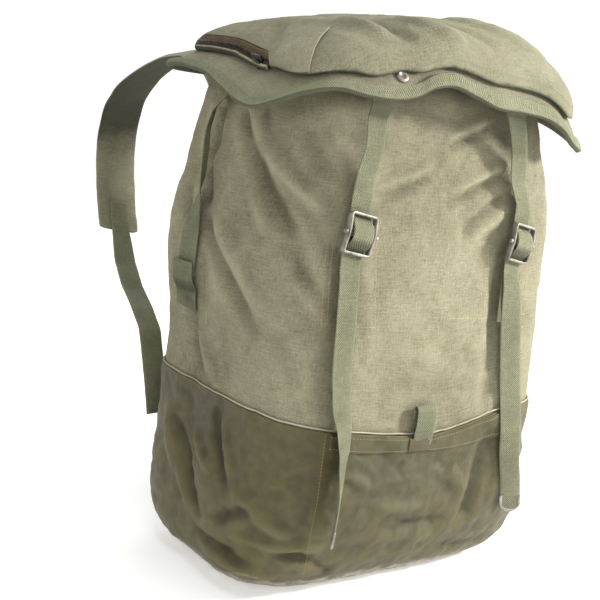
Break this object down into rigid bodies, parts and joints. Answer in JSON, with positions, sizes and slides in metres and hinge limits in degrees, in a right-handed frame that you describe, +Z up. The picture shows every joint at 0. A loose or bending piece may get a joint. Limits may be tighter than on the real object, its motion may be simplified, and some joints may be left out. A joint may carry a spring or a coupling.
{
  "type": "military backpack",
  "caption": "Large canvas rucksack with a coated lower bag, a zipped lid held down by webbing straps with slide buckles, and shoulder straps.",
  "frame": {"origin": "middle of the back panel's outer face, level with the tops of the shoulder straps, where the shoulders carry the bag", "axes": "+Z up, -Y towards the front with the buckles, +X towards the wearer's right"},
  "size_m": [0.394, 0.5158, 0.544],
  "materials": {
    "canvas": "coarse faded olive canvas",
    "lid_canvas": "coarse faded olive canvas, lighter on top",
    "coated_canvas": "canvas with a satin rubbery coating, scuffed at the edges",
    "webbing": "light green woven cotton webbing",
    "tab_webbing": "darker green woven webbing",
    "piping": "light grey-beige cord",
    "zip_tape": "brown woven tape",
    "steel": "dull worn steel",
    "dark_metal": "dark blackened metal"
  },
  "bodies": {
    "root": {"bag_upper": "canvas", "bag_lower": "coated_canvas", "seam_piping": "piping", "front_hem": "coated_canvas", "lid_panel": "lid_canvas", "lid_binding": "webbing", "lid_pocket": "lid_canvas", "zip_tape": "zip_tape", "zip_slider": "dark_metal", "corner_patch": "lid_canvas", "lid_snap": "steel", "lid_strap_left": "webbing", "strap_tip_left": "steel", "buckle_left": "steel", "buckle_bar_left": "steel", "buckle_tab_left": "tab_webbing", "lid_strap_right": "webbing", "strap_tip_right": "steel", "buckle_right": "steel", "buckle_bar_right": "steel", "buckle_tab_right": "tab_webbing", "front_loop": "webbing", "side_tab_left": "lid_canvas", "side_strap_left": "webbing", "side_patch_left": "webbing", "shoulder_strap_left": "lid_canvas", "shoulder_webbing_left": "webbing", "side_tab_right": "lid_canvas", "side_strap_right": "webbing", "side_patch_right": "webbing", "shoulder_strap_right": "lid_canvas", "shoulder_webbing_right": "webbing"}
  },
  "joints": []
}
